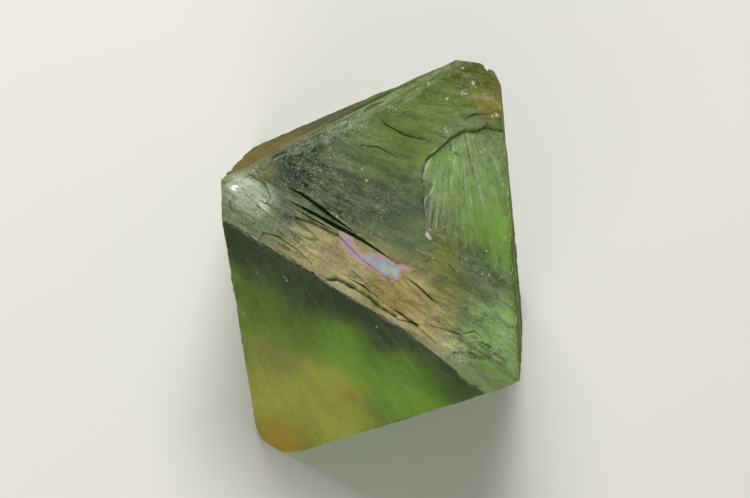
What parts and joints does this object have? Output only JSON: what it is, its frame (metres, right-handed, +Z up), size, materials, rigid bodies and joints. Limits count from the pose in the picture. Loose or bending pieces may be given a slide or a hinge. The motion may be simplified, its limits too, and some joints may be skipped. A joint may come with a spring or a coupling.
{
  "type": "fluorite octahedron",
  "caption": "Green fluorite cleaved into an octahedron, with worn corners, cleavage ledges and open cracks, lying on one flat face.",
  "frame": {"origin": "on the surface that the crystal rests on, below the middle of its bounding box", "axes": "+Z up, away from the resting face; +X along the ridge between the top and the front face; +Y towards the blunt corner at the back, the longest extent"},
  "size_m": [0.045, 0.049, 0.0299],
  "materials": {
    "green_fluorite": "satin, translucent green with grey, tan and olive zones"
  },
  "bodies": {
    "root": {"fluorite_crystal": "green_fluorite"}
  },
  "joints": []
}
